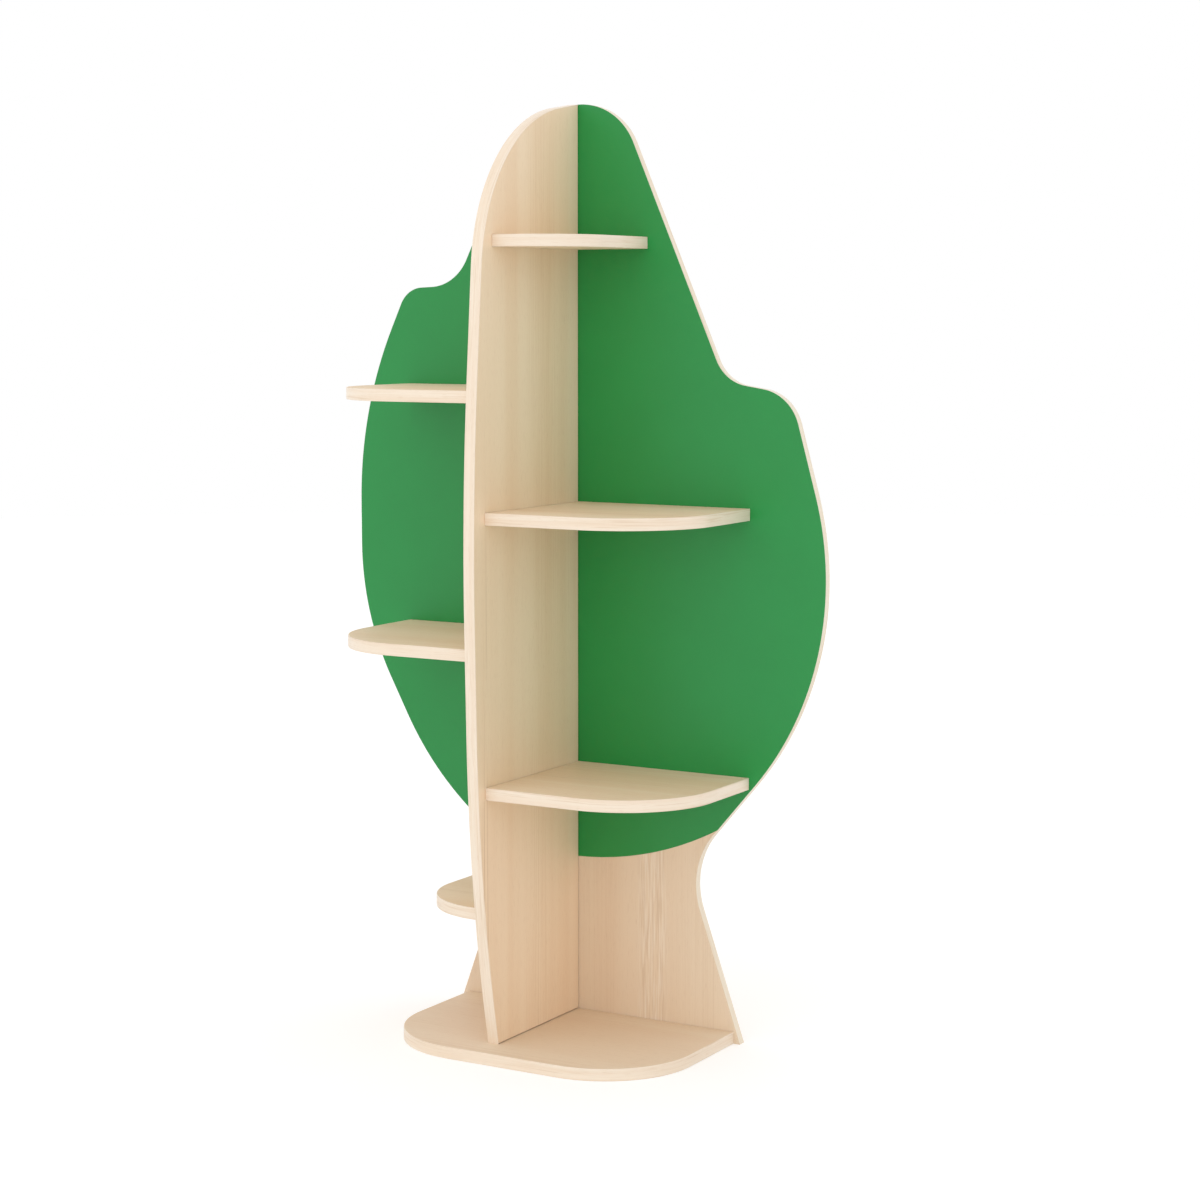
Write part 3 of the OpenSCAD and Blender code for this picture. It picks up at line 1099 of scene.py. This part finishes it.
@dataclass
class CoverCaps:
    """Moulded plastic caps over the screw heads: a low dome with a soft rim and a hexagonal peg."""

    node: str = "screw_cover_caps"
    height_mm: float = 1.4
    dome_mm: Sequence[tuple[float, float]] = (
        (0.0, 0.0), (2.6, 0.03), (4.4, 0.14), (5.3, 0.30), (5.85, 0.55), (6.15, 0.88), (6.25, 1.15),
        (6.25, height_mm), (5.7, height_mm), (0.0, height_mm),
    )
    peg_mm: Sequence[tuple[float, float]] = ((0.0, 1.2), (2.15, 1.2), (2.15, 3.4), (1.75, 3.8), (0.0, 3.8))
    rim_steps: int = 40
    peg_sides: int = 6

    def build(self, finishes: Finishes) -> None:
        """Build all the caps.

        Args:
            finishes: The shared materials.
        """
        cap = bmesh.new()
        turn_profile(cap, self.dome_mm, self.rim_steps)
        turn_profile(cap, self.peg_mm, self.peg_sides)
        bmesh.ops.recalc_face_normals(cap, faces=cap.faces)
        shape = bmesh.new()
        plant(shape, cap, stations(self.node, Vector((0.0, -1.0, 0.0))))
        add_piece(self.node + "_moulded", shape, [finishes.cap], "cap_plastic", self.node)


# Studio


@dataclass
class Studio:
    """A white room: a pale floor, an even soft light and the camera."""

    camera_place: tuple[float, float, float] = (1.79443, -2.92008, 0.9806)
    turn_degrees: float = 30.12
    pitch_degrees: float = 4.34
    lens_mm: float = 78.34
    sensor_mm: float = 36.0
    camera_shift: float = -0.08
    room_light: float = 0.90
    front_light: float = 0.40
    floor_radius: float = 9.0
    floor_corners: int = 96
    floor_paint: str = "#EDEDED"
    floor_glow: float = 0.12
    floor_lift: float = 0.14

    def build(self) -> None:
        """Build the floor, the light and the camera."""
        self.floor()
        self.world()
        self.camera()

    def floor(self) -> None:
        """Lay a round pale floor that keeps the object's shadow and looks a little lighter than it lights."""
        shape = bmesh.new()
        bmesh.ops.create_circle(shape, cap_ends=True, segments=self.floor_corners, radius=self.floor_radius)
        mesh = bpy.data.meshes.new("studio_floor")
        shape.to_mesh(mesh)
        shape.free()
        material = bpy.data.materials.new("matt_white_floor")
        tree = empty_tree(material)
        paint = add_node(tree, "ShaderNodeBsdfDiffuse", values={"Color": linear(self.floor_paint)})
        lit = []
        for strength in (self.floor_glow, self.floor_glow + self.floor_lift):
            glow = add_node(tree, "ShaderNodeEmission", values={"Strength": strength})
            lit.append(add_node(tree, "ShaderNodeAddShader", links={0: paint.outputs[0], 1: glow.outputs[0]}))
        rays = add_node(tree, "ShaderNodeLightPath")
        seen = add_node(
            tree, "ShaderNodeMixShader",
            links={0: rays.outputs["Is Camera Ray"], 1: lit[0].outputs[0], 2: lit[1].outputs[0]})
        add_node(tree, "ShaderNodeOutputMaterial", links={"Surface": seen.outputs[0]})
        mesh.materials.append(material)
        floor = add_object("studio_floor", mesh)

    def world(self) -> None:
        """Light the room softly from all sides, a little more from the front, and show plain white."""
        world = bpy.data.worlds.new("white_room")
        bpy.context.scene.world = world
        tree = empty_tree(world)
        place = add_node(tree, "ShaderNodeTexCoord")
        towards = add_node(
            tree, "ShaderNodeVectorMath", settings={"operation": "DOT_PRODUCT"}, values={1: (0.0, -1.0, 0.0)},
            links={0: place.outputs["Generated"]})
        strength = add_node(
            tree, "ShaderNodeMapRange",
            values={"To Min": self.room_light, "To Max": self.room_light + self.front_light},
            links={"Value": towards.outputs["Value"]})
        light = add_node(
            tree, "ShaderNodeBackground", values={"Color": linear("#FFFFFF")},
            links={"Strength": strength.outputs["Result"]})
        white = add_node(tree, "ShaderNodeBackground", values={"Color": linear("#FFFFFF"), "Strength": 1.0})
        rays = add_node(tree, "ShaderNodeLightPath").outputs
        straight = combine(tree, "MAXIMUM", rays["Is Camera Ray"], rays["Is Transmission Ray"])
        direct = combine(tree, "MAXIMUM", straight, rays["Is Glossy Ray"])
        both = add_node(
            tree, "ShaderNodeMixShader", links={0: direct, 1: light.outputs[0], 2: white.outputs[0]})
        add_node(tree, "ShaderNodeOutputWorld", links={"Surface": both.outputs[0]})

    def camera(self) -> None:
        """Set the camera at the right, a little above the middle, as in the photograph."""
        data = bpy.data.cameras.new("camera")
        data.lens = self.lens_mm
        data.sensor_width = self.sensor_mm
        data.shift_y = self.camera_shift
        camera = add_object("camera", data)
        camera.location = self.camera_place
        camera.rotation_euler = (math.radians(90 - self.pitch_degrees), 0.0, math.radians(self.turn_degrees))
        bpy.context.scene.camera = camera


def main() -> None:
    """Build the scene, sub-assembly by sub-assembly."""
    logging.basicConfig(level=logging.INFO, format="%(message)s")
    bpy.context.scene.view_settings.view_transform = "Standard"
    finishes = Finishes.build()
    TreePanel().build(finishes)
    Board("upright_fin", X, [(Y, HIGH), (Z, LOW)], gap=1.3 * MM).build(
        finishes.upright_board, finishes.fin_band, finishes.raw)
    Board("base_plate", Z, [(Y, HIGH)], gap=1.0 * MM).build(
        finishes.base_board, finishes.level_band, finishes.raw)
    for side, inner in (("right", LOW), ("left", HIGH)):
        for level in ("low", "middle", "top"):
            Board(f"shelf_{side}_{level}", Z, [(Y, HIGH), (X, inner)], gap=0.7 * MM).build(
                finishes.level_board, finishes.level_band, finishes.raw)
    for group in ("panel_to_fin_screws", "panel_to_shelf_screws", "panel_to_base_screws"):
        Screws(group, Vector((0.0, -1.0, 0.0))).build(finishes)
    Screws("base_to_fin_screws", Vector((0.0, 0.0, 1.0))).build(finishes)
    Dowels().build(finishes)
    CoverCaps().build(finishes)
    Studio().build()


if __name__ == "__main__":
    main()
